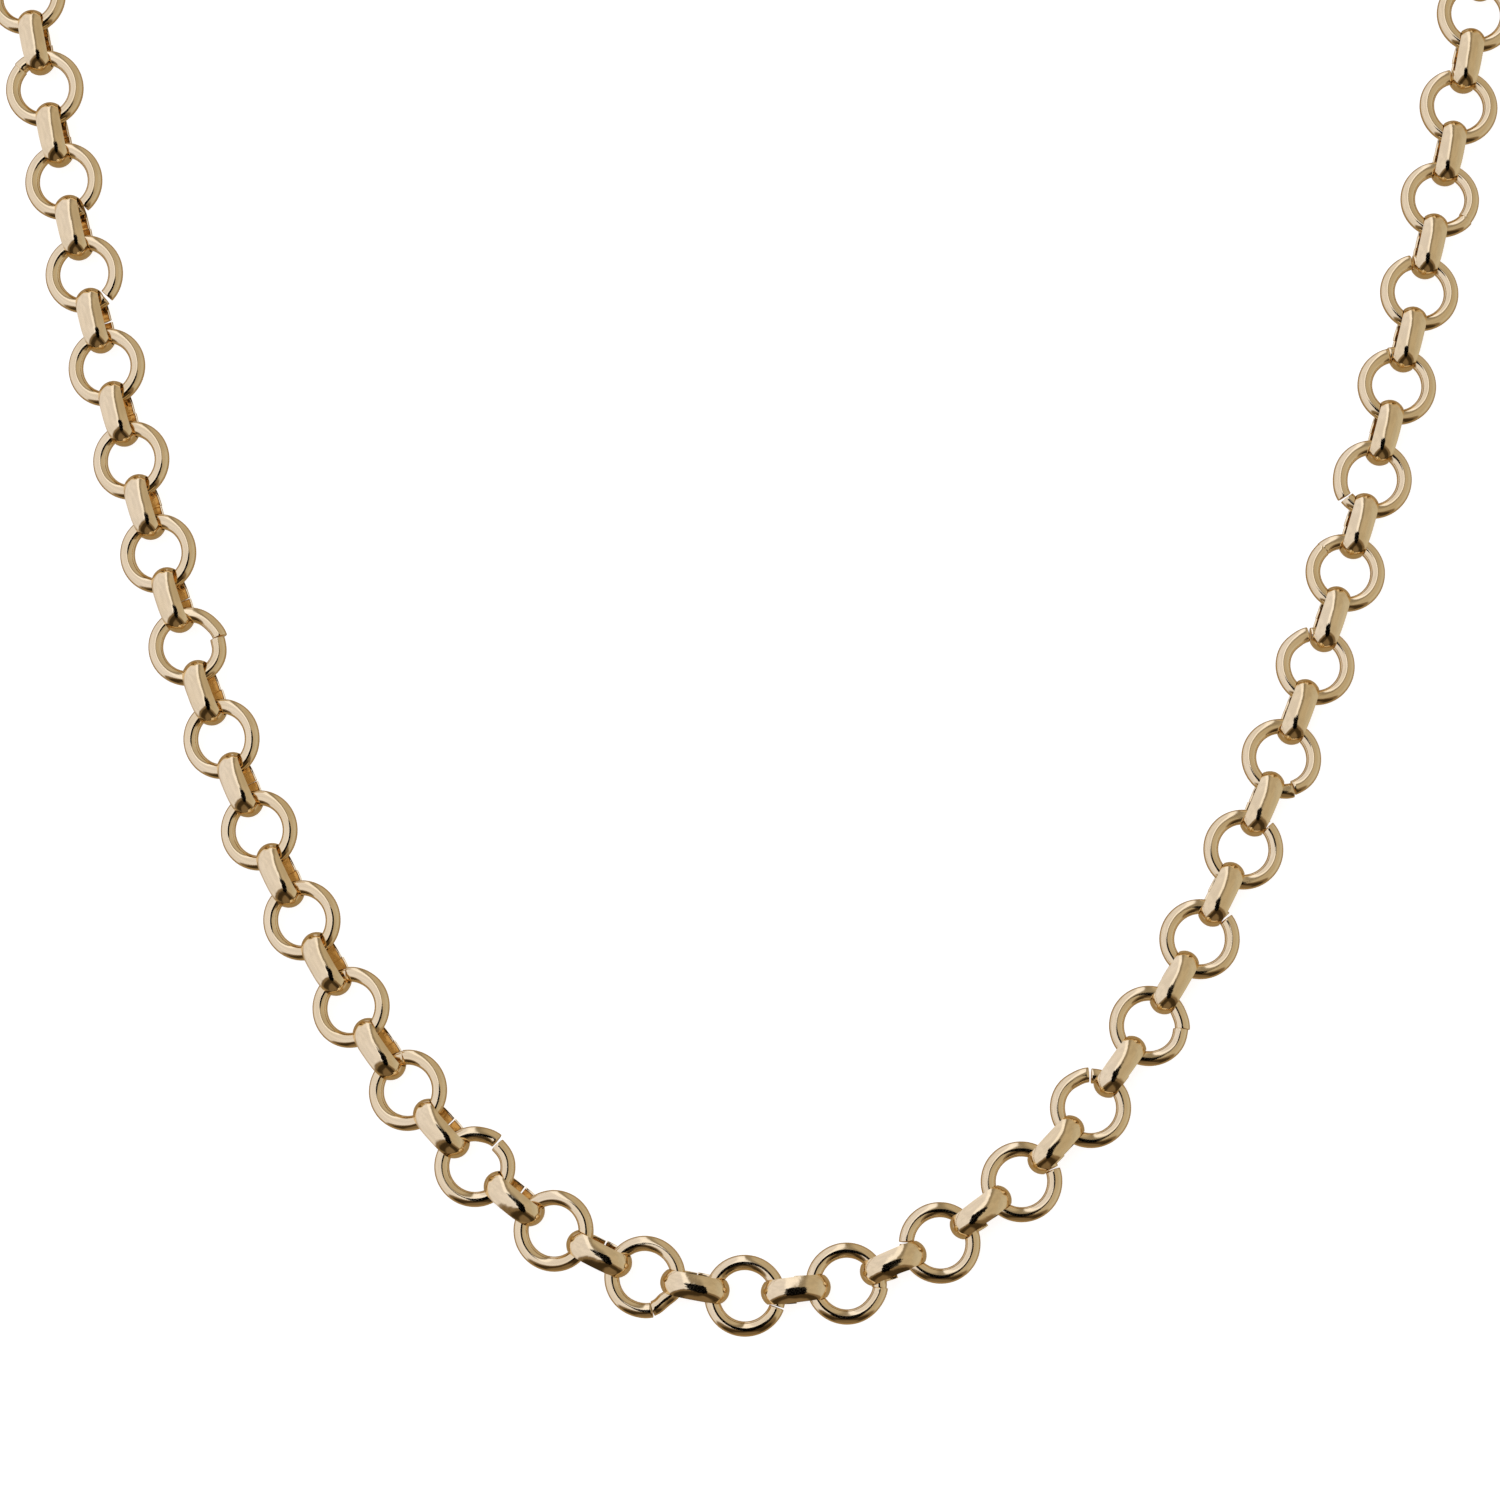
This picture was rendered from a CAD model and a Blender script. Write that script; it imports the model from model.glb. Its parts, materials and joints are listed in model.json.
import json
import math
import random

import bpy
from mathutils import Matrix, Vector


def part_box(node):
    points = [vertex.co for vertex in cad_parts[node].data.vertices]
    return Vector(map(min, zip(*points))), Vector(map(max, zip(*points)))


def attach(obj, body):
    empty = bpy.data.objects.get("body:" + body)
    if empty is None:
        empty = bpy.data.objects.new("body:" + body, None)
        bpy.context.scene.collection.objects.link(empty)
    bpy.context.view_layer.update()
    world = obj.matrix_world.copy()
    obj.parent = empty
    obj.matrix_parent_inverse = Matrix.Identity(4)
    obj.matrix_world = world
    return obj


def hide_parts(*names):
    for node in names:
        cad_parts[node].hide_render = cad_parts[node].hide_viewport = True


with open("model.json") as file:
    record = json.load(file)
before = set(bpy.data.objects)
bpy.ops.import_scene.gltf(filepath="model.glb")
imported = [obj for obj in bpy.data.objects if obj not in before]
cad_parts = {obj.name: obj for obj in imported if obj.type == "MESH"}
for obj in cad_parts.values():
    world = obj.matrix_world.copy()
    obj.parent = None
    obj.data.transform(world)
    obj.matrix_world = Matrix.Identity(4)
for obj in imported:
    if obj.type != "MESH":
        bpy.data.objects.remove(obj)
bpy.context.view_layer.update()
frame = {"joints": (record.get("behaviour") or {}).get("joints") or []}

MM = 0.001
JOINTS = {joint["name"]: joint for joint in frame["joints"]}

# ---- sizes of the chain, as in the CAD ----
RING_COUNT = 44
RING_RADIUS = 3.25 * MM  # of the wire's centreline
WIRE_RADIUS = 0.75 * MM
STRAP_HALF = 1.25 * MM  # half the strap's width
STRAP_THICK = 0.6 * MM
STRAP_EDGE = 0.1 * MM  # height of the widest point over the inside face
SEAT_HALF = 1.13 * MM  # half the flat inside face
LOOP_HALF_INSIDE = 2.85 * MM  # half the loop's inside length
LOOP_RISE_INSIDE = 1.70 * MM  # half the loop's inside height
LOOP_FULLNESS = 3.0  # exponent along the loop; 2 would be an ellipse
END_NARROWING = 0.11  # share of the strap's width that the loop's ends lose

# ---- what differs from link to link, read by eye from the photo ----
# ring: (world angle of its joint in degrees; gap, step out of plane and step outwards in mm;
# how far the arm at the start is straightened, from 0 to 1)
RING_JOINTS = {
    7: (140, 0.06, 0.10, 0.05, 0.0),
    8: (-54, 0.45, 0.10, 0.06, 0.0),
    9: (-47, 0.42, 0.14, 0.06, 0.0),
    13: (16, 0.26, 0.18, -0.22, 0.2),
    17: (96, 0.06, 0.12, 0.06, 0.0),
    18: (97, 0.06, 0.10, 0.05, 0.0),
    19: (47, 0.42, 0.18, -0.20, 0.2),
    21: (-77, 0.22, -0.12, 0.08, 1.0),
    22: (-19, 0.24, 0.12, 0.04, 0.0),
    23: (-7, 0.06, -0.18, 0.10, 0.0),
    24: (180, 0.28, 0.10, 0.04, 0.0),
    25: (22, 0.30, 0.10, 0.06, 0.0),
    26: (90, 0.34, 0.12, -0.10, 0.3),
    27: (-6, 0.15, 0.12, -0.14, 0.3),
    28: (39, 0.30, -0.12, 0.06, 0.0),
    29: (44, 0.30, 0.12, 0.05, 0.0),
    30: (-71, 0.26, 0.12, 0.16, 0.0),
    31: (99, 0.34, 0.10, -0.10, 0.3),
    32: (132, 0.05, -0.10, 0.04, 0.0),
    33: (214, 0.30, 0.14, 0.14, 0.3),
    34: (103, 0.12, 0.10, 0.06, 0.0),
    35: (101, 0.30, 0.12, -0.10, 0.0),
    36: (-39, 0.10, 0.12, 0.08, 0.0),
    37: (100, 0.30, 0.12, -0.08, 0.0),
}
# connector: (gap in its back, sideways step of the two ends), in mm
BACK_SPLITS = {
    9: (0.26, 0.06),
    10: (0.05, 0.10),
    12: (0.18, 0.04),
    13: (0.05, 0.16),
    14: (0.14, 0.05),
    15: (0.06, 0.12),
    16: (0.05, 0.14),
    17: (0.04, 0.10),
    18: (0.22, 0.05),
    19: (0.24, 0.05),
    20: (0.20, 0.08),
    21: (0.12, 0.08),
    22: (0.10, 0.20),
    23: (0.10, 0.32),
    24: (0.12, 0.30),
}


def unit(vector):
    return vector.normalized()


def flat(vector):
    return Vector((vector.x, vector.y, 0))


# ---- where the rings and connectors are, from the joints in the record ----
WORLD_UP = Vector((0, 0, 1))


def joint_place(name):
    joint = JOINTS[name]
    return Vector(joint["pos_m"]), Vector(joint["axis"])


def upward(vector):
    return vector if vector.z > 0 else -vector


def first_ring():
    wire, across = joint_place("fold_01")
    along = across.cross(WORLD_UP)
    return wire + RING_RADIUS * unit(along), WORLD_UP


def ring_places():
    """Each ring's centre and the axis that it lies square to, by ring number."""
    centres, normals = {}, {}
    centres[1], normals[1] = first_ring()
    for number in range(3, RING_COUNT, 2):
        centre, axis = joint_place(f"swing_{number:02d}")
        centres[number], normals[number] = centre, upward(axis)
    for number in range(2, RING_COUNT + 1, 2):
        wire, _ = joint_place(f"fold_{number:02d}")
        towards = unit(flat(wire - centres[number - 1]))
        centres[number] = wire + RING_RADIUS * towards
    for number in range(2, RING_COUNT + 1, 2):
        after = normals.get(number + 1, WORLD_UP)
        normals[number] = unit(normals[number - 1] + after)
    return centres, normals


def basis(along, up, origin):
    """A frame with X along, Z as near up as it can be, at origin."""
    x = unit(along)
    z = unit(up - x * up.dot(x))
    y = z.cross(x)
    rotation = Matrix((x, y, z)).transposed()
    return Matrix.Translation(origin) @ rotation.to_4x4()


# ---- meshes ----
SHARP = 40  # degrees between faces past which an edge stays sharp
RIM_IN, RIM_OUT = 0.3, 0.7  # the middle of a rounded edge, as shares of its size


def bell(distance, reach):
    """1 at no distance, falling smoothly to nothing past the reach."""
    return math.exp(-((distance / reach) ** 2))


def sweep(sections, closed=False):
    """Vertices and faces of a tube through sections, which are closed loops of points."""
    count = len(sections[0])
    points = [point for section in sections for point in section]
    faces = []
    last = len(sections) if closed else len(sections) - 1
    for i in range(last):
        a, b = i * count, (i + 1) % len(sections) * count
        for j in range(count):
            k = (j + 1) % count
            faces.append((a + j, a + k, b + k, b + j))
    if not closed:
        faces.append(tuple(reversed(range(count))))
        end = (len(sections) - 1) * count
        faces.append(tuple(range(end, end + count)))
    return points, faces


def mesh_piece(name, points, faces, material, place=None, sharp=SHARP):
    mesh = bpy.data.meshes.new(name)
    mesh.from_pydata(points, [], faces)
    if place is not None:
        mesh.transform(place)
    mesh.validate()
    mesh.materials.append(material)
    piece = bpy.data.objects.new(name, mesh)
    bpy.context.scene.collection.objects.link(piece)
    mesh.shade_smooth()
    mesh.set_sharp_from_angle(angle=math.radians(sharp))
    return piece


# ---- rings ----
RING_STEPS = 96
WIRE_SIDES = 28
ARM_BEND = 0.065  # share of the ring over which an arm bends away at the joint
OTHER_ARM = 0.3  # share of the outward step that the other arm takes inwards
WAVE_COUNTS = (2, 3)  # waves round the ring
WAVE_HEIGHT = 0.015  # mm
STRAIGHTENING = 0.25  # mm inwards, where an arm is straightened
STRAIGHT_AT = 0.07  # share of the ring from the joint
STRAIGHT_REACH = 0.045
RING_END_ROUND = 0.06 * MM


def wire_section(centre, outward, up):
    """A round of points across the wire."""
    section = []
    for side in range(WIRE_SIDES):
        angle = 2 * math.pi * side / WIRE_SIDES
        across = outward * math.cos(angle) - up * math.sin(angle)
        section.append(centre + across * WIRE_RADIUS)
    return section


def ring_mesh(rng, joint):
    """A ring of bent wire in its own frame, with its joint at the angle 0 of that frame."""
    _, gap, lift, spread, straight = joint
    half_gap = gap * MM / 2 / RING_RADIUS
    waves = [(n, rng.uniform(-1, 1), rng.uniform(0, math.tau)) for n in WAVE_COUNTS]
    sections = []
    for step in range(RING_STEPS + 1):
        share = step / RING_STEPS
        angle = half_gap + share * (math.tau - 2 * half_gap)
        end = bell(1 - share, ARM_BEND)
        start = bell(share, ARM_BEND)
        radius = RING_RADIUS
        for n, size, phase in waves:
            wave = WAVE_HEIGHT * MM * size * math.cos(n * angle + phase)
            radius += wave * (1 - end) * (1 - start)
        radius += spread * MM * end - OTHER_ARM * spread * MM * start
        radius -= straight * STRAIGHTENING * MM * bell(share - STRAIGHT_AT, STRAIGHT_REACH)
        outward = Vector((math.cos(angle), math.sin(angle), 0))
        height = lift * MM * (end - start) / 2
        centre = outward * radius + Vector((0, 0, height))
        sections.append((centre, outward))
    loops = [wire_section(centre, outward, WORLD_UP) for centre, outward in sections]
    return rounded_ends(loops, RING_END_ROUND)


def rounded_ends(loops, size):
    """The cut ends of an open sweep, with their edges slightly rounded."""

    def shrunk(loop, beside):
        centre = sum(loop, Vector()) / len(loop)
        other = sum(beside, Vector()) / len(beside)
        out = unit(centre - other)
        rim = []
        for point in loop:
            inward = unit(centre - point)
            rim.append(point + inward * size * RIM_IN + out * size * RIM_OUT)
        inner = [point + unit(centre - point) * size + out * size for point in loop]
        return rim, inner

    rim_a, inner_a = shrunk(loops[0], loops[1])
    rim_b, inner_b = shrunk(loops[-1], loops[-2])
    return sweep([inner_a, rim_a] + loops + [rim_b, inner_b])


# ---- connectors ----
LOOP_STEPS = 104
FINE_STEPS = 2400  # for measuring along the loop
DOME_STEPS = 16
EDGE_POINT = (0.985, 0.35)  # of the strap's half width and edge height
SEAT_SHARES = (0.9, 0.45, 0.0, -0.45, -0.9)
NARROWING_POWER = 3
SPLIT_REACH = 0.09  # share of the loop over which an end steps sideways
STRAP_END_ROUND = 0.03 * MM


def strap_section():
    """[across, height over the inside face] round the strap's section."""
    rise = STRAP_THICK - STRAP_EDGE
    dome_radius = (STRAP_HALF**2 + rise**2) / (2 * rise)
    reach = math.asin(STRAP_HALF / dome_radius)
    dome = []
    for i in range(DOME_STEPS + 1):
        angle = reach * (2 * i / DOME_STEPS - 1)
        across = dome_radius * math.sin(angle)
        dome.append((across, STRAP_THICK - dome_radius * (1 - math.cos(angle))))
    edge = [(STRAP_HALF * EDGE_POINT[0], STRAP_EDGE * EDGE_POINT[1]), (SEAT_HALF, 0.0)]
    inside = [(SEAT_HALF * share, 0.0) for share in SEAT_SHARES]
    mirrored = [(-across, height) for across, height in reversed(edge)]
    return dome + edge + inside + mirrored


def loop_point(turn):
    """A point of the loop's inside line and its outward normal. Turn 0 is the far end."""
    c, s = math.cos(turn), math.sin(turn)
    long, tall, n = LOOP_HALF_INSIDE, LOOP_RISE_INSIDE, LOOP_FULLNESS
    x = long * math.copysign(abs(c) ** (2 / n), c)
    slope = math.copysign(n * abs(x) ** (n - 1) / long**n, x)
    normal = unit(Vector((slope, 0, 2 * s / tall)))
    return Vector((x, 0, tall * s)), normal


def loop_path(back_gap):
    """Evenly spaced (point, normal) round the loop, from one side of the split to the other."""
    turns = [-math.pi / 2 + math.tau * i / FINE_STEPS for i in range(FINE_STEPS + 1)]
    places = [loop_point(turn) for turn in turns]
    run = [0.0]
    for (a, _), (b, _) in zip(places, places[1:]):
        run.append(run[-1] + (b - a).length)
    path, at = [], 0
    for i in range(LOOP_STEPS + 1):
        goal = back_gap / 2 + (run[-1] - back_gap) * i / LOOP_STEPS
        while run[at + 1] < goal:
            at += 1
        share = (goal - run[at]) / (run[at + 1] - run[at])
        point = places[at][0].lerp(places[at + 1][0], share)
        path.append((point, unit(places[at][1].lerp(places[at + 1][1], share))))
    return path


def connector_mesh(split):
    """A strap bent into a loop, in its own frame: X along the chain, Z out of the front."""
    gap, step = split
    section = strap_section()
    path = loop_path(gap * MM)
    loops = []
    across_way = Vector((0, 1, 0))
    for index, (point, normal) in enumerate(path):
        share = index / (len(path) - 1)
        slip = step * MM / 2 * (bell(share, SPLIT_REACH) - bell(1 - share, SPLIT_REACH))
        width = 1 - END_NARROWING * abs(point.x / LOOP_HALF_INSIDE) ** NARROWING_POWER
        loop = []
        for across, height in section:
            loop.append(point + normal * height + across_way * (across * width + slip))
        loops.append(loop)
    return rounded_ends(loops, STRAP_END_ROUND)


# ---- materials ----
GOLD_DARK = (0.87, 0.68, 0.39, 1)
GOLD_LIGHT = (0.91, 0.73, 0.45, 1)
STEEL_DARK = (0.50, 0.50, 0.49, 1)
STEEL_LIGHT = (0.66, 0.66, 0.65, 1)
# noise: (scale per metre, detail)
COLOUR_NOISE = (160, 3)
ROUGH_NOISE = (700, 4)
DENT_SCALE = 900
SCRATCH_NOISE = (9000, 2)
NOISE_SPAN = (0.3, 0.7)  # of the noise's value, over which a colour changes
ROUGH_SPAN = (0.8, 1.5)  # times the metal's own roughness
DENT_STRENGTH, DENT_DEPTH = 0.5, 0.02 * MM
SCRATCH_STRENGTH, SCRATCH_DEPTH = 0.12, 0.004 * MM
SEED_WAY = (1, 0.37, 0.11)  # direction in which a seed shifts the noise


def metal(name, seed, dark, light, rough, dents=1.0, crinkle=1):
    """Polished metal: slightly wavy, with fine scratches and uneven colour."""
    material = bpy.data.materials.new(name)
    material.use_nodes = True
    nodes, links = material.node_tree.nodes, material.node_tree.links
    shader = nodes["Principled BSDF"]
    shader.inputs["Metallic"].default_value = 1.0
    place = nodes.new("ShaderNodeTexCoord")
    shift = nodes.new("ShaderNodeVectorMath")
    shift.inputs[1].default_value = tuple(seed * way for way in SEED_WAY)
    links.new(place.outputs["Object"], shift.inputs[0])

    def noise(scale, detail):
        node = nodes.new("ShaderNodeTexNoise")
        node.inputs["Scale"].default_value = scale
        node.inputs["Detail"].default_value = detail
        links.new(shift.outputs[0], node.inputs["Vector"])
        return node.outputs["Fac"]

    def ramp(source, colours):
        node = nodes.new("ShaderNodeValToRGB")
        for element, position, colour in zip(node.color_ramp.elements, NOISE_SPAN, colours):
            element.position = position
            element.color = colour
        links.new(source, node.inputs["Fac"])
        return node.outputs["Color"]

    def bump(height, strength, distance):
        node = nodes.new("ShaderNodeBump")
        node.inputs["Strength"].default_value = strength
        node.inputs["Distance"].default_value = distance
        links.new(height, node.inputs["Height"])
        return node

    links.new(ramp(noise(*COLOUR_NOISE), (dark, light)), shader.inputs["Base Color"])
    greys = [(rough * times,) * 3 + (1,) for times in ROUGH_SPAN]
    links.new(ramp(noise(*ROUGH_NOISE), greys), shader.inputs["Roughness"])

    dent = bump(noise(DENT_SCALE, crinkle), DENT_STRENGTH, DENT_DEPTH * dents)
    scratch = bump(noise(*SCRATCH_NOISE), SCRATCH_STRENGTH, SCRATCH_DEPTH)
    links.new(dent.outputs["Normal"], scratch.inputs["Normal"])
    links.new(scratch.outputs["Normal"], shader.inputs["Normal"])
    return material


# ---- the chain ----
HIDDEN_TURN = 8  # degrees that a hidden joint may be off the middle of its connector
HIDDEN_GAP = (0.03, 0.08)  # mm
HIDDEN_LIFT = 0.02  # mm out of plane
HIDDEN_SPREAD = 0.01  # mm outwards
BACK_GAP = (0.04, 0.12)  # mm, for a connector with none noted
BACK_STEP = (-0.12, 0.16)
RING_TILT, STRAP_TILT = 0.8, 0.6  # degrees at most
RNG = random.Random(7)
GOLD = metal("gold_chain", 1.0, GOLD_DARK, GOLD_LIGHT, 0.09)
STRAP_GOLD = metal("gold_strap", 5.2, GOLD_DARK, GOLD_LIGHT, 0.085, dents=2.0, crinkle=2)
CLASP_GOLD = metal("gold_clasp", 2.3, GOLD_DARK, GOLD_LIGHT, 0.10)
STEEL = metal("spring_steel", 3.1, STEEL_DARK, STEEL_LIGHT, 0.22)
centres, normals = ring_places()


def ring_joint(number):
    """The ring's own joint, or for a ring with none noted, a tight one hidden in a connector."""
    if number in RING_JOINTS:
        return RING_JOINTS[number]
    neighbours = [other for other in (number - 1, number + 1) if other in centres]
    towards = centres[RNG.choice(neighbours)] - centres[number]
    angle = math.degrees(math.atan2(towards.y, towards.x)) + RNG.uniform(-HIDDEN_TURN, HIDDEN_TURN)
    gap = RNG.uniform(*HIDDEN_GAP)
    return angle, gap, RNG.uniform(-HIDDEN_LIFT, HIDDEN_LIFT), HIDDEN_SPREAD, 0.0


def small_turn(degrees, axis):
    """A random turn, so that no two pieces lie quite alike."""
    return Matrix.Rotation(math.radians(RNG.uniform(-degrees, degrees)), 4, axis)


def add_ring(number, body):
    joint = ring_joint(number)
    turn = math.radians(joint[0])
    towards = Vector((math.cos(turn), math.sin(turn), 0))
    place = basis(towards, normals[number], centres[number])
    tilt = small_turn(RING_TILT, "X")
    tilt @= small_turn(RING_TILT, "Y")
    points, faces = ring_mesh(RNG, joint)
    piece = mesh_piece(f"ring_{number:02d}", points, faces, GOLD, place @ tilt)
    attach(piece, body)
    return piece


def add_connector(name, number, body, place):
    # Drawn for every connector, so that a noted split doesn't change the draws after it
    drawn = (RNG.uniform(*BACK_GAP), RNG.uniform(*BACK_STEP))
    split = BACK_SPLITS.get(number, drawn)
    tilt = small_turn(STRAP_TILT, "X")
    points, faces = connector_mesh(split)
    piece = mesh_piece(name, points, faces, STRAP_GOLD, place @ tilt)
    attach(piece, body)
    return piece


def add_links():
    for number in range(1, RING_COUNT):
        node = f"link_{number:02d}"
        ring = add_ring(number, node)
        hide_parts(node)
        here, there = centres[number], centres[number + 1]
        up = normals[number] + normals[number + 1]
        place = basis(there - here, up, (here + there) / 2)
        strap = add_connector(f"connector_{number:02d}", number, node, place)
    last = add_ring(RING_COUNT, "catch_ring")
    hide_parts("catch_ring")


def add_end_connector():
    low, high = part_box("end_connector")
    middle = (low + high) / 2
    place = basis(middle - centres[1], WORLD_UP, middle)
    piece = add_connector("connector_end", 0, "end_connector", place)
    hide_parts("end_connector")


add_links()
add_end_connector()


# ---- clasp ----
# In millimetres: X from the eye's centre to the hook's end, Z out of its face. The photo doesn't
# show it, so all of it is a guess.
EYE_RADIUS = 2.8
EYE_HOLE = 1.7
SHOULDER = 70  # degrees round the eye at which the body leaves it
FLARE_X = 3.8  # where the curve from the eye to the hook is drawn towards
EYE_STEP = 2.2  # where the thin eye meets the thick body
HOOK_X = 8.6
HOOK = (5.4, 4.0)  # half the hook's length and width
THROAT = (3.6, 2.3)
HALF_BODY = 1.7
HALF_EYE = 0.7
DOME_FROM = 1.05  # height over the middle plane where the faces begin to crown
DOME_FALL = 0.6  # share of the rest of the thickness that is gone at the body's sides
MOUTH = (5.2, -5.0, 9.4, -0.5)  # low x, low y, high x, high y
SLOT = (2.6, -5.0, 5.4, 1.2)
SLOT_HALF = 1.0
BEYOND_FACE, BEYOND_SIDE = 3, 5  # cuts go this far, past the body's faces and sides
PIVOT = (3.9, -1.6)
PIN_RADIUS = 0.4
HOLE_RADIUS = 0.45
LEVER_Z = (-0.85, 0.35)
LEVER_END, LEVER_TOP = 9.0, -0.8
HUB_RADIUS = 1.0
TAB = [(4.2, -2.6), (4.3, -5.0), (4.7, -5.3), (5.1, -5.35), (5.7, -4.0), (6.3, -2.6)]
PIN_PROFILE = [(-1.60, 0.22), (-1.57, 0.34), (-1.50, PIN_RADIUS)]  # (height, radius), one end
COIL_TURNS = 2.6
COIL_RADIUS = 0.65
COIL_WIRE = 0.05
COIL_Z = (0.5, 0.8)
COIL_STEPS, COIL_SIDES = 150, 10
EYE_STEPS, FLARE_STEPS, HOOK_STEPS, THROAT_STEPS, ROUND_STEPS = 44, 20, 56, 64, 40
WEAR = 0.5  # how far each smoothing pass moves a vertex


def arc(centre, radii, start, end, steps):
    """Points round an ellipse, from one angle in degrees to another."""
    points = []
    for i in range(steps + 1):
        turn = math.radians(start + (end - start) * i / steps)
        x, y = radii[0] * math.cos(turn), radii[1] * math.sin(turn)
        points.append((centre[0] + x, centre[1] + y))
    return points


def curve(a, pull, b, steps):
    """Points along a curve from a to b, drawn towards pull."""
    points = []
    for i in range(steps + 1):
        t = i / steps
        weights = ((1 - t) ** 2, 2 * t * (1 - t), t**2)
        points.append(tuple(sum(w * p[k] for w, p in zip(weights, (a, pull, b))) for k in (0, 1)))
    return points


def teardrop():
    """The clasp's outline, from a round eye to a wide round hook."""
    shoulder, width = math.radians(SHOULDER), HOOK[1]
    x, y = EYE_RADIUS * math.cos(shoulder), EYE_RADIUS * math.sin(shoulder)
    outline = arc((0, 0), (EYE_RADIUS, EYE_RADIUS), SHOULDER, 360 - SHOULDER, EYE_STEPS)
    outline += curve((x, -y), (FLARE_X, -width), (HOOK_X, -width), FLARE_STEPS)[1:]
    outline += arc((HOOK_X, 0), HOOK, -90, 90, HOOK_STEPS)[1:]
    return outline + curve((HOOK_X, width), (FLARE_X, width), (x, y), FLARE_STEPS)[1:-1]


def prism(outline, low, high):
    count = len(outline)
    points = [(x, y, low) for x, y in outline] + [(x, y, high) for x, y in outline]
    faces = [tuple(reversed(range(count))), tuple(range(count, 2 * count))]
    for i in range(count):
        j = (i + 1) % count
        faces.append((i, j, j + count, i + count))
    return mesh_piece("clasp_step", points, faces, None)


def block(low_x, low_y, high_x, high_y, low=-BEYOND_FACE, high=BEYOND_FACE):
    return prism([(low_x, low_y), (high_x, low_y), (high_x, high_y), (low_x, high_y)], low, high)


def circle(centre, radius):
    return arc(centre, (radius, radius), 0, 360, ROUND_STEPS)[:-1]


def rod(centre, radius, low=-BEYOND_FACE, high=BEYOND_FACE):
    return prism(circle(centre, radius), low, high)


def throat():
    outline = arc((HOOK_X, 0), THROAT, 0, 360, THROAT_STEPS)[:-1]
    return prism(outline, -BEYOND_FACE, BEYOND_FACE)


def clasp_place():
    """The clasp's own frame, in millimetres, put at its eye and pointing away from the chain."""
    eye, axis = joint_place("clasp_swing")
    z = upward(axis)
    x = eye - centres[1]
    x = unit(x - z * x.dot(z))
    rotation = Matrix((x, z.cross(x), z)).transposed().to_4x4()
    return Matrix.Translation(eye) @ rotation @ Matrix.Scale(MM, 4)


def crowned(point):
    """The point moved so that the body's two faces are domed across their width."""
    over = abs(point.z) - DOME_FROM
    if over <= 0:
        return point
    share = 1 - DOME_FALL * (point.y / HOOK[1]) ** 2
    return Vector((point.x, point.y, math.copysign(DOME_FROM + over * share, point.z)))


def sculpt(name, solid, steps, grain, passes):
    """A solid after cuts and joins, with its edges and faces rounded as in a polished casting."""
    for kind, other in steps:
        change = solid.modifiers.new("step", "BOOLEAN")
        change.operation, change.object, change.solver = kind, other, "EXACT"
    grid = solid.modifiers.new("grid", "REMESH")
    grid.mode, grid.voxel_size = "VOXEL", grain
    worn = solid.modifiers.new("worn", "SMOOTH")
    worn.factor, worn.iterations = WEAR, passes
    seen = solid.evaluated_get(bpy.context.evaluated_depsgraph_get())
    mesh = bpy.data.meshes.new_from_object(seen)
    for helper in [solid] + [other for _, other in steps]:
        bpy.data.objects.remove(helper)
    points = [crowned(vertex.co) for vertex in mesh.vertices]
    faces = [tuple(face.vertices) for face in mesh.polygons]
    return mesh_piece(name, points, faces, CLASP_GOLD, clasp_place(), sharp=180)


def clasp_body():
    thin = (-EYE_RADIUS - 1, -BEYOND_SIDE, EYE_STEP, BEYOND_SIDE)
    steps = [
        ("DIFFERENCE", throat()),
        ("DIFFERENCE", block(*MOUTH)),
        ("DIFFERENCE", block(*SLOT, -SLOT_HALF, SLOT_HALF)),
        ("DIFFERENCE", block(*thin, HALF_EYE, BEYOND_FACE)),
        ("DIFFERENCE", block(*thin, -BEYOND_FACE, -HALF_EYE)),
        ("DIFFERENCE", rod((0, 0), EYE_HOLE)),
        ("DIFFERENCE", rod(PIVOT, HOLE_RADIUS)),
    ]
    return sculpt("clasp_body_cast", prism(teardrop(), -HALF_BODY, HALF_BODY), steps, 0.11, 40)


def clasp_lever():
    steps = [
        ("DIFFERENCE", throat()),
        ("INTERSECT", block(PIVOT[0], -BEYOND_SIDE, LEVER_END, LEVER_TOP)),
        ("UNION", rod(PIVOT, HUB_RADIUS, *LEVER_Z)),
        ("UNION", prism(TAB, *LEVER_Z)),
        ("DIFFERENCE", rod(PIVOT, HOLE_RADIUS)),
    ]
    return sculpt("clasp_lever_cast", prism(teardrop(), *LEVER_Z), steps, 0.08, 18)


def clasp_pin():
    """A round pin with low domed heads."""
    profile = PIN_PROFILE + [(-z, radius) for z, radius in reversed(PIN_PROFILE)]
    loops = []
    for z, radius in profile:
        loops.append([Vector((x, y, z)) for x, y in circle(PIVOT, radius)])
    points, faces = sweep(loops)
    return mesh_piece("clasp_pin_turned", points, faces, CLASP_GOLD, clasp_place())


def clasp_spring():
    """A wire coil round the pin."""
    low, high = COIL_Z
    loops = []
    for i in range(COIL_STEPS + 1):
        turn = math.tau * COIL_TURNS * i / COIL_STEPS
        outward = Vector((math.cos(turn), math.sin(turn), 0))
        height = low + (high - low) * i / COIL_STEPS
        centre = Vector((*PIVOT, height)) + outward * COIL_RADIUS
        loop = []
        for side in range(COIL_SIDES):
            angle = math.tau * side / COIL_SIDES
            across = outward * math.cos(angle) - Vector((0, 0, math.sin(angle)))
            loop.append(centre + COIL_WIRE * across)
        loops.append(loop)
    points, faces = sweep(loops)
    return mesh_piece("clasp_spring_coil", points, faces, STEEL, clasp_place())


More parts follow.
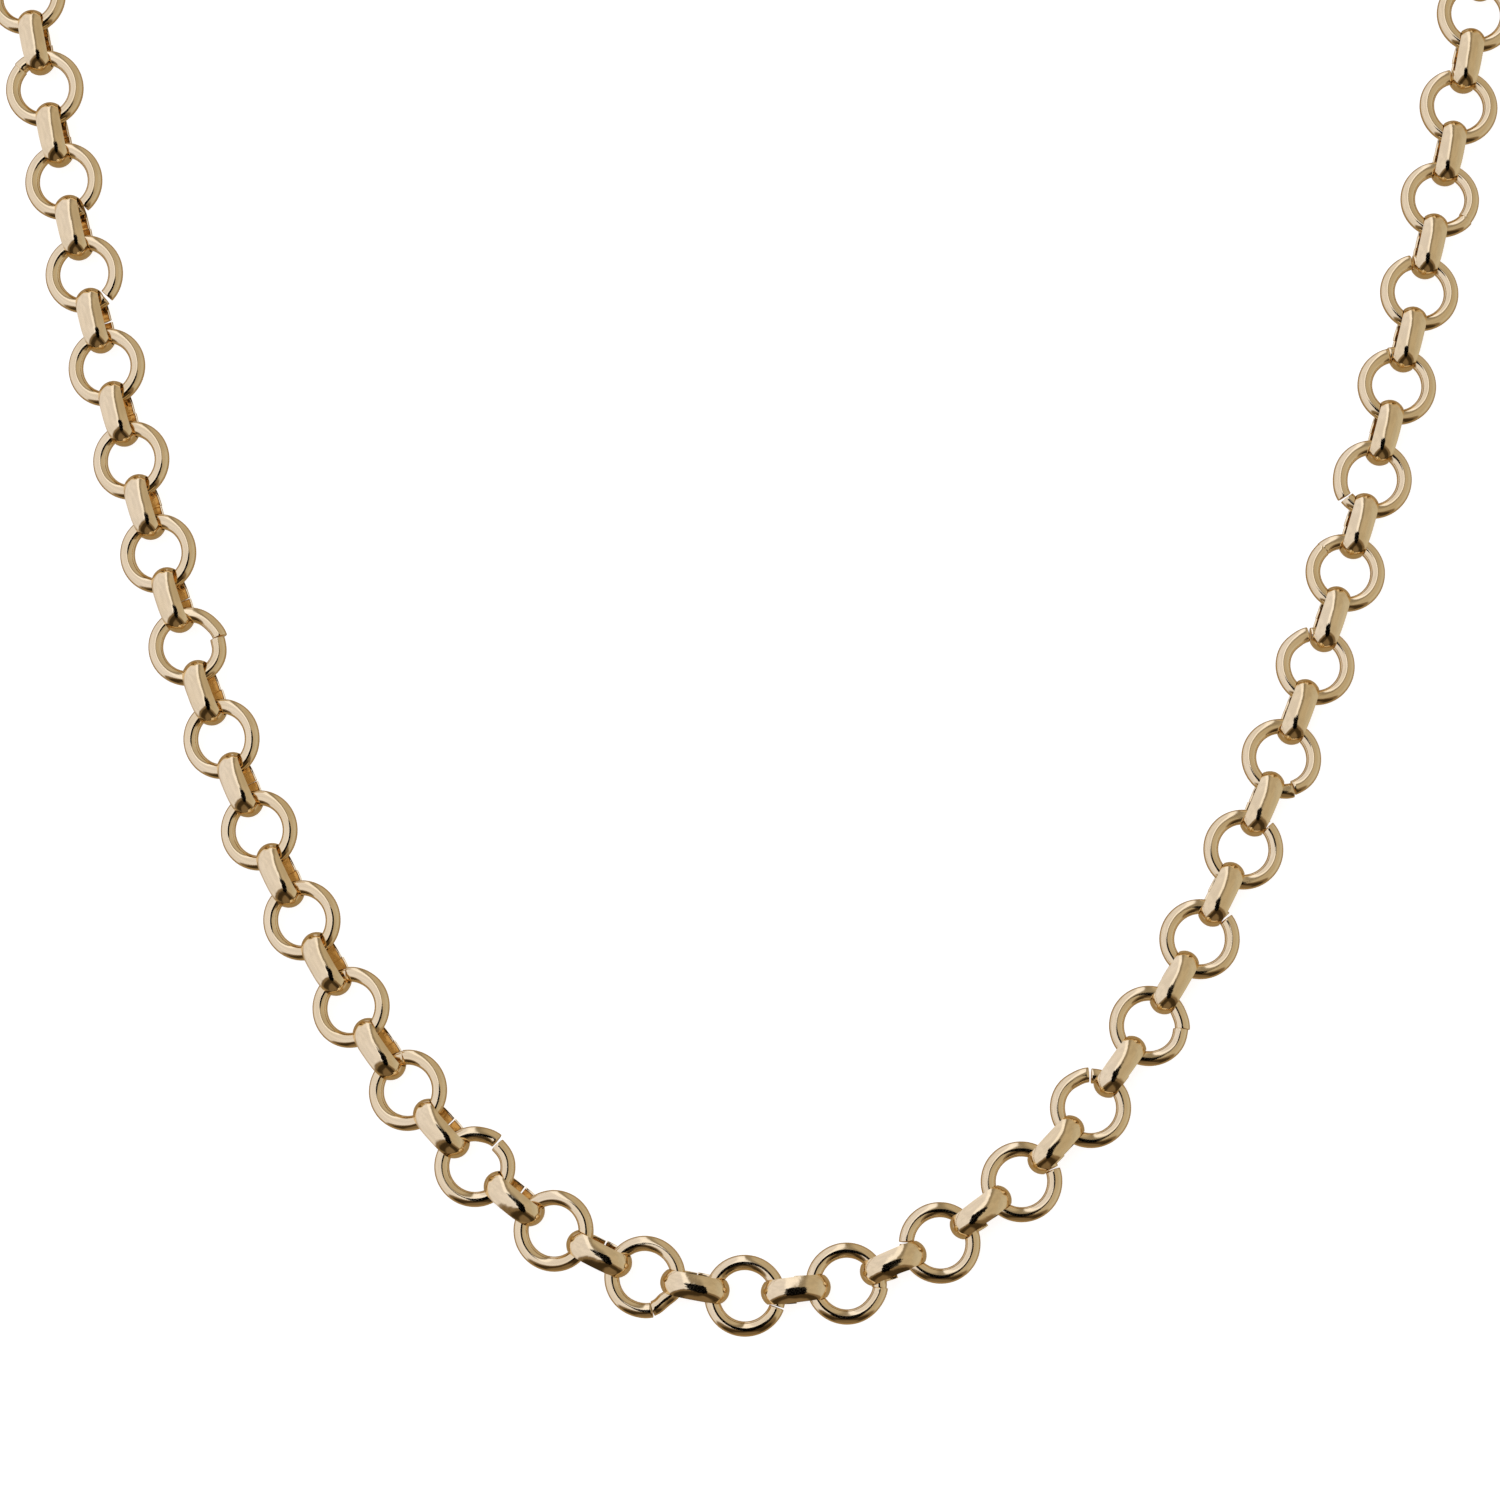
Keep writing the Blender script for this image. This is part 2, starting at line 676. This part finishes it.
def add_clasp():
    """The pin and the spring have no body of their own, and ride on the clasp's."""
    made = [
        (clasp_body(), "clasp_body", "clasp_body", "clasp_gold"),
        (clasp_lever(), "clasp_lever", "clasp_lever", "clasp_gold"),
        (clasp_pin(), "clasp_body", "clasp_pivot_pin", "clasp_gold"),
        (clasp_spring(), "clasp_body", "clasp_spring", "spring_steel"),
    ]
    for piece, body, node, slot in made:
        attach(piece, body)
        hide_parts(node)


add_clasp()

# ---- studio ----
# Light tent, as linear colour by direction. Colours tuned against the photo.
CREAM = (0.84, 0.86, 1.05, 1)
STREAK = (1.12, 1.16, 1.40, 1)
TAN_NEAR = (0.30, 0.26, 0.21, 1)
TAN_FAR = (0.54, 0.48, 0.40, 1)
TAN_EDGE = (0.60, 0.57, 0.52, 1)
BROWN = (0.21, 0.15, 0.088, 1)
CRESCENT = (0.05, 0.033, 0.016, 1)
UNDER = (0.37, 0.27, 0.15, 1)
# Where one colour turns into the next: along X, along Z, or along the front, which is how far a
# direction points to -Y, less a share of how far it points sideways
CREAM_STREAK_X = (-0.26, -0.18)
STREAK_TAN_X = (-0.05, 0.01)
TAN_X = (0.06, 0.24)
TAN_EDGE_X = (0.6, 0.95)
FRONT_SIDE = 0.45
BROWN_FRONT = (0.28, 0.38)
CRESCENT_FROM, CRESCENT_TO = (0.44, 0.54), (0.86, 0.74)
UNDER_Z = (-0.15, -0.60)
CLOUD_SCALE, CLOUD_DETAIL = 3.0, 2.0
CLOUD_GREYS = (0.92, 1.05)
WHITE = (1, 1, 1, 1)
BLACK = (0, 0, 0, 1)
# The hood's outline round the lens, in the camera's plane. It is made up, for a dark reflection.
HOOD = [
    (-0.09, 0.13), (-0.05, 0.10), (-0.01, 0.15), (0.03, 0.11), (0.08, 0.14), (0.10, 0.08),
    (0.14, 0.05), (0.12, -0.01), (0.15, -0.06), (0.13, -0.12), (0.16, -0.19), (0.12, -0.25),
    (0.13, -0.33), (0.07, -0.30), (0.03, -0.36), (-0.01, -0.29), (-0.05, -0.34),
    (-0.07, -0.26), (-0.11, -0.22), (-0.09, -0.14), (-0.12, -0.08), (-0.09, -0.02), (-0.12, 0.05),
]
HOOD_BEHIND = 0.01  # metres behind the lens
FLOOR_HALF = 8.0
FLOOR_Z = -0.0001
FLOOR_GREY = (0.5, 0.5, 0.5, 1)
FLOOR_ROUGHNESS = 0.9
FLOOR_GLOW = 0.85

AIM = Vector((0.0002, -0.0459, 0))
DISTANCE = 0.5
ELEVATION = math.radians(80)
LENS = 119.5  # fitted to the photo, as the roll is
ROLL = math.radians(-0.16)
SENSOR = 36
CLIP = (0.01, 20)


def look_at(location, target):
    """A camera's place, with +Y upwards in its picture."""
    back = unit(location - target)
    x = unit(Vector((0, 1, 0)).cross(back))
    y = back.cross(x)
    return Matrix.Translation(location) @ Matrix((x, y, back)).transposed().to_4x4()


def add_camera():
    data = bpy.data.cameras.new("camera")
    data.sensor_width = SENSOR
    data.lens = LENS
    data.clip_start, data.clip_end = CLIP
    camera = bpy.data.objects.new("camera", data)
    bpy.context.scene.collection.objects.link(camera)
    away = Vector((0, -math.cos(ELEVATION), math.sin(ELEVATION)))
    camera.matrix_world = look_at(AIM + away * DISTANCE, AIM) @ Matrix.Rotation(ROLL, 4, "Z")
    bpy.context.scene.camera = camera
    return camera


def black():
    """A material that sends no light at all."""
    material = bpy.data.materials.new("hood_black")
    material.use_nodes = True
    nodes, links = material.node_tree.nodes, material.node_tree.links
    nodes.remove(nodes["Principled BSDF"])
    shader = nodes.new("ShaderNodeEmission")
    shader.inputs["Color"].default_value = BLACK
    shader.inputs["Strength"].default_value = 0.0
    links.new(shader.outputs[0], nodes["Material Output"].inputs["Surface"])
    return material


def add_floor():
    """A pale floor that glows a little, so that it shows next to no shadow. It isn't reflected."""
    material = bpy.data.materials.new("floor_white")
    material.use_nodes = True
    shader = material.node_tree.nodes["Principled BSDF"]
    shader.inputs["Base Color"].default_value = FLOOR_GREY
    shader.inputs["Roughness"].default_value = FLOOR_ROUGHNESS
    shader.inputs["Emission Color"].default_value = WHITE
    shader.inputs["Emission Strength"].default_value = FLOOR_GLOW
    signs = ((-1, -1), (1, -1), (1, 1), (-1, 1))
    square = [(FLOOR_HALF * x, FLOOR_HALF * y, 0) for x, y in signs]
    floor = mesh_piece("floor", square, [(0, 1, 2, 3)], material)
    floor.location.z = FLOOR_Z
    floor.visible_glossy = False


def add_camera_hood(camera):
    """The dark, uneven shape of a camera in the mouth of the tent. Only the metal sees it.

    It stays round the main view's camera when another view is rendered.
    """
    outline = [(x, y, 0) for x, y in HOOD]
    hood = mesh_piece("camera_hood", outline, [tuple(range(len(HOOD)))], black())
    hood.matrix_world = camera.matrix_world @ Matrix.Translation((0, 0, HOOD_BEHIND))
    hood.visible_camera = False
    hood.visible_diffuse = False
    hood.visible_shadow = False


class Shader:
    """Short ways to add nodes to a node tree."""

    def __init__(self, tree):
        self.nodes, self.links = tree.nodes, tree.links

    def put(self, socket, value):
        if isinstance(value, (int, float, tuple)):
            socket.default_value = value
        else:
            self.links.new(value, socket)

    def math(self, kind, a, b=0.0):
        node = self.nodes.new("ShaderNodeMath")
        node.operation = kind
        self.put(node.inputs[0], a)
        self.put(node.inputs[1], b)
        return node.outputs[0]

    def span(self, value, ends):
        """0 before the first end, 1 after the second, and smooth between them."""
        node = self.nodes.new("ShaderNodeMapRange")
        node.interpolation_type = "SMOOTHSTEP"
        node.inputs["From Min"].default_value = ends[0]
        node.inputs["From Max"].default_value = ends[1]
        self.put(node.inputs["Value"], value)
        return node.outputs["Result"]

    def mix(self, share, a, b, kind="MIX"):
        node = self.nodes.new("ShaderNodeMix")
        node.data_type = "RGBA"
        node.blend_type = kind
        self.put(node.inputs[0], share)
        self.put(node.inputs[6], a)  # 6 and 7 are the two colours
        self.put(node.inputs[7], b)
        return node.outputs[2]


def add_world():
    """A light tent: bright on the left and above, warmer on the right, dark towards -Y.

    The camera itself sees plain white beyond the floor.
    """
    world = bpy.data.worlds.new("tent")
    bpy.context.scene.world = world
    world.use_nodes = True
    made = Shader(world.node_tree)
    place = made.nodes.new("ShaderNodeTexCoord")
    split = made.nodes.new("ShaderNodeSeparateXYZ")
    made.links.new(place.outputs["Generated"], split.inputs[0])
    x, y, z = split.outputs

    sky = made.mix(made.span(x, CREAM_STREAK_X), CREAM, STREAK)
    tan = made.mix(made.span(x, TAN_X), TAN_NEAR, TAN_FAR)
    tan = made.mix(made.span(x, TAN_EDGE_X), tan, TAN_EDGE)
    sky = made.mix(made.span(x, STREAK_TAN_X), sky, tan)
    side = made.math("MULTIPLY", made.math("ABSOLUTE", x), FRONT_SIDE)
    front = made.math("SUBTRACT", made.math("MULTIPLY", y, -1.0), side)
    crescent_in, crescent_out = made.span(front, CRESCENT_FROM), made.span(front, CRESCENT_TO)
    crescent = made.math("MULTIPLY", crescent_in, crescent_out)
    brown = made.mix(crescent, BROWN, CRESCENT)
    sky = made.mix(made.span(front, BROWN_FRONT), sky, brown)
    sky = made.mix(made.span(z, UNDER_Z), sky, UNDER)

    noise = made.nodes.new("ShaderNodeTexNoise")
    noise.inputs["Scale"].default_value = CLOUD_SCALE
    noise.inputs["Detail"].default_value = CLOUD_DETAIL
    made.links.new(place.outputs["Generated"], noise.inputs["Vector"])
    greys = [(grey,) * 3 + (1,) for grey in CLOUD_GREYS]
    uneven = made.mix(made.span(noise.outputs["Fac"], NOISE_SPAN), *greys)
    sky = made.mix(1.0, sky, uneven, "MULTIPLY")
    seen = made.nodes.new("ShaderNodeLightPath").outputs["Is Camera Ray"]
    sky = made.mix(seen, sky, WHITE)
    made.links.new(sky, made.nodes["Background"].inputs["Color"])


camera = add_camera()
add_floor()
add_camera_hood(camera)
add_world()
bpy.context.scene.view_settings.view_transform = "Standard"
